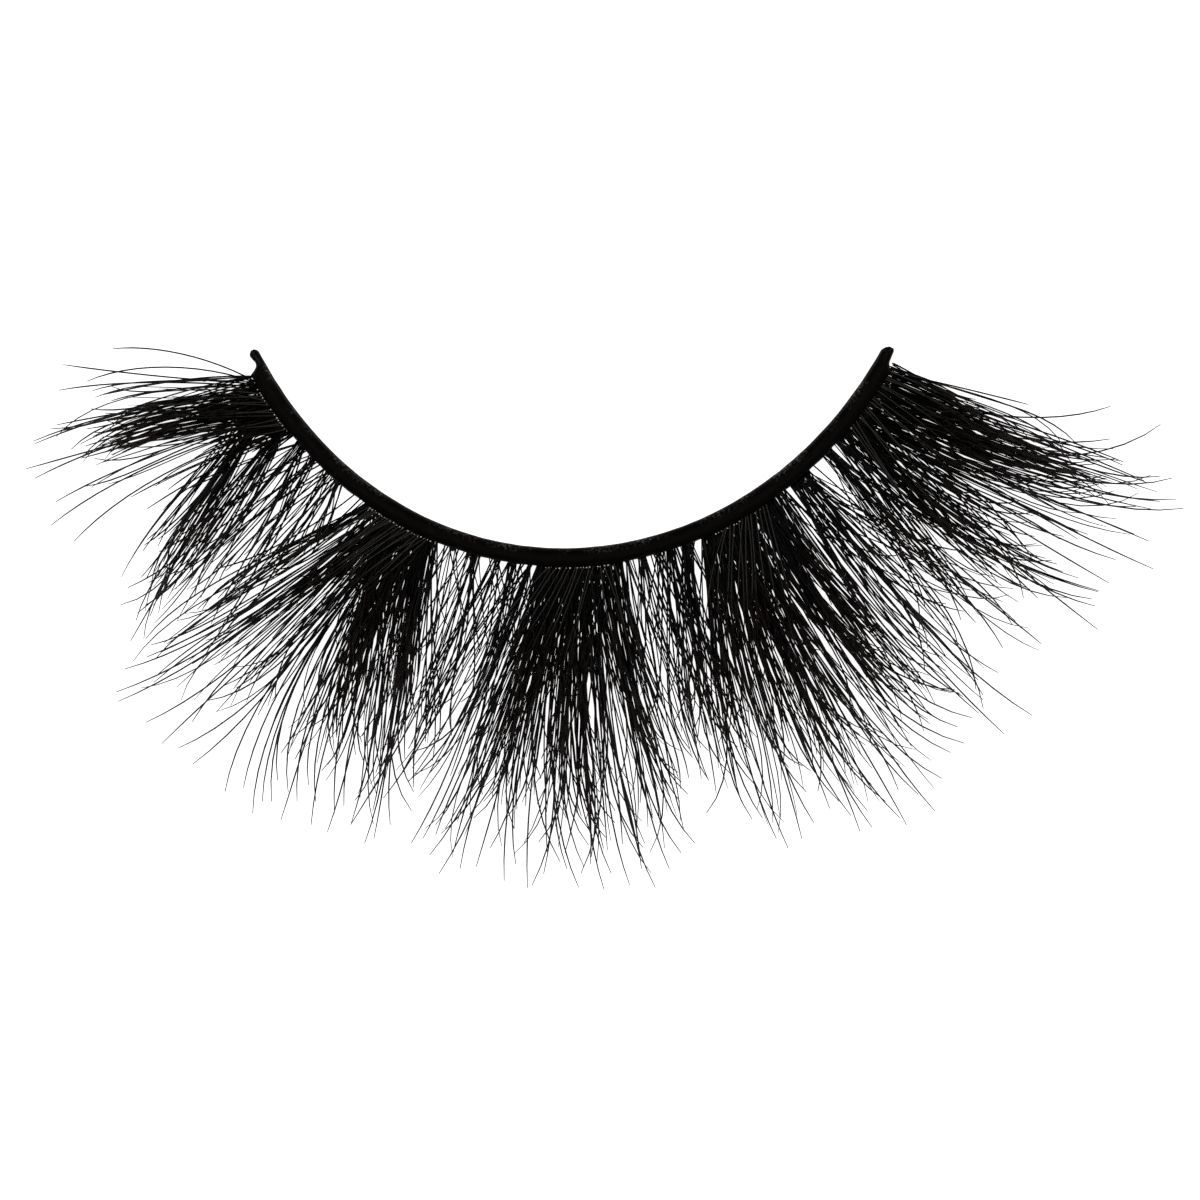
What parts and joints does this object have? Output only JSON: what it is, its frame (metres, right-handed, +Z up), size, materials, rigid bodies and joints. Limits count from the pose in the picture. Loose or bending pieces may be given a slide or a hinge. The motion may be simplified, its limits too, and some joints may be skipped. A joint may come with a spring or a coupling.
{
  "type": "false eyelash strip",
  "caption": "Curved strip false eyelash: a thin black band with dense fans of long curling fibres along its outer edge and sparser wisps between them.",
  "frame": {"origin": "on the band's flat underside, in the middle of its width, where the curve of the band is lowest", "axes": "+X along the strip, +Y towards the hollow side of the band, +Z up from the surface that it lies on"},
  "size_m": [0.0501, 0.0238, 0.0047],
  "materials": {
    "band_thread": "satin black thread sealed with clear-drying glue",
    "lash_fibre": "drawn black fibre, semi-gloss"
  },
  "bodies": {
    "root": {"lash_band": "band_thread", "left_corner_fan": "lash_fibre", "left_corner_wisp": "lash_fibre", "left_fan": "lash_fibre", "left_wisp": "lash_fibre", "middle_fan": "lash_fibre", "right_wisp": "lash_fibre", "right_fan": "lash_fibre", "right_corner_wisp": "lash_fibre", "right_corner_fan": "lash_fibre"}
  },
  "joints": []
}
